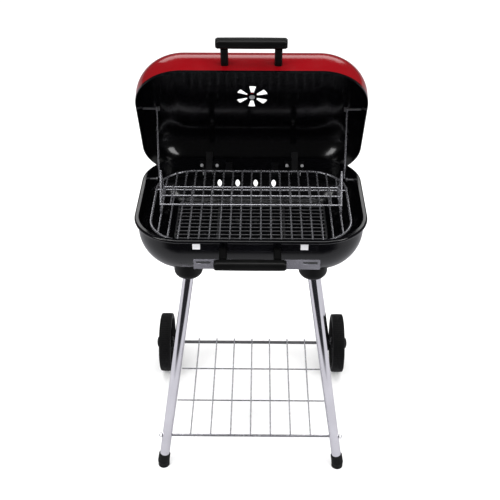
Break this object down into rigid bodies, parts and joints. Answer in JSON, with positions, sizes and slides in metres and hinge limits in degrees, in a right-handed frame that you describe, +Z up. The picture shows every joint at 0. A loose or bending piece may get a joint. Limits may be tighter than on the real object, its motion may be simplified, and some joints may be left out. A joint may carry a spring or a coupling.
{
  "type": "charcoal grill",
  "caption": "Charcoal grill with a deep rounded-rectangle bowl and hinged lid on four splayed tube legs, with rear wheels, a wire shelf, grates and a warming rack.",
  "frame": {"origin": "on the floor, under the middle of the whole grill's box with its lid open", "axes": "+Z up, -Y towards the cook, +X to the right"},
  "size_m": [0.4946, 0.476, 0.9642],
  "materials": {
    "black_enamel": "glossy porcelain enamel",
    "red_enamel": "glossy red porcelain enamel outside, black inside",
    "black_steel": "satin black",
    "chrome": "bright plated wire and strip",
    "chrome_tube": "bright chrome tube",
    "zinc": "zinc plated",
    "dark_wire": "dull plated wire",
    "black_plastic": "fine moulded grain",
    "black_rubber": "matte",
    "wheel_plastic": "matte, ribbed tread"
  },
  "bodies": {
    "frame": {"bowl": "black_enamel", "hinge_bowl_brackets": "black_steel", "hinge_pins": "zinc", "hinge_screws": "zinc", "stay_guide_screws": "zinc", "grate_brackets": "zinc", "rear_grate_brackets": "black_steel", "charcoal_grate": "dark_wire", "charcoal_grate_feet": "dark_wire", "air_slide_clips": "zinc", "bowl_handle_grip": "black_plastic", "bowl_handle_posts": "black_plastic", "tool_strip": "chrome", "bowl_handle_screws": "zinc", "leg_sockets": "black_plastic", "leg_front_left": "chrome_tube", "leg_front_right": "chrome_tube", "leg_rear_left": "chrome_tube", "leg_rear_right": "chrome_tube", "foot_cap_left": "black_rubber", "foot_cap_right": "black_rubber", "axle": "zinc", "axle_nuts": "zinc", "bottom_shelf": "chrome", "shelf_nuts": "zinc", "hub_cap_left": "black_plastic", "hub_cap_right": "black_plastic"},
    "lid": {"lid": "red_enamel", "lid_handle_grip": "black_plastic", "lid_handle_posts": "black_plastic", "lid_handle_screws": "zinc", "damper_rivet": "zinc", "hinge_lid_straps": "black_steel", "strap_screws": "zinc", "stay_pivot_screws": "zinc"},
    "vent_damper": {"lid_vent_damper": "black_steel"},
    "left_stay": {"stay_left": "chrome"},
    "right_stay": {"stay_right": "chrome"},
    "grate": {"cooking_grate": "chrome"},
    "rack": {"warming_rack": "chrome"},
    "air_slide": {"rear_air_slide": "black_steel", "air_slide_knob": "black_plastic"},
    "left_wheel": {"wheel_left": "wheel_plastic"},
    "right_wheel": {"wheel_right": "wheel_plastic"}
  },
  "joints": [
    {"name": "lid_hinge", "type": "hinge", "parent": "frame", "child": "lid", "pos_m": [0, 0.122, 0.606], "axis": [-1, 0, 0], "range_deg": [-65, 0]},
    {"name": "vent_turn", "type": "hinge", "parent": "lid", "child": "vent_damper", "pos_m": [0, 0.16947, 0.77158], "axis": [0, 0.9063, 0.4226], "range_deg": [0, 26]},
    {"name": "stay_left_swing", "type": "hinge", "parent": "lid", "child": "left_stay", "pos_m": [-0.204, 0.12054, 0.76531], "axis": [-1, 0, 0], "range_deg": [-9, 0]},
    {"name": "stay_right_swing", "type": "hinge", "parent": "lid", "child": "right_stay", "pos_m": [0.204, 0.12054, 0.76531], "axis": [-1, 0, 0], "range_deg": [-9, 0]},
    {"name": "grate_lift", "type": "slide", "parent": "frame", "child": "grate", "axis": [0, 0, 1], "range_m": [0, 0.12]},
    {"name": "rack_lift", "type": "slide", "parent": "grate", "child": "rack", "axis": [0, 0, 1], "range_m": [0, 0.1]},
    {"name": "air_slide_run", "type": "slide", "parent": "frame", "child": "air_slide", "axis": [1, 0, 0], "range_m": [-0.008, 0.012]},
    {"name": "left_wheel_spin", "type": "hinge", "parent": "frame", "child": "left_wheel", "pos_m": [-0.221, 0.162, 0.076], "axis": [1, 0, 0], "continuous": true},
    {"name": "right_wheel_spin", "type": "hinge", "parent": "frame", "child": "right_wheel", "pos_m": [0.221, 0.162, 0.076], "axis": [1, 0, 0], "continuous": true}
  ],
  "couplings": [
    {"joint": "stay_left_swing", "follows": "lid_hinge", "ratio": 0.13846},
    {"joint": "stay_right_swing", "follows": "lid_hinge", "ratio": 0.13846}
  ]
}
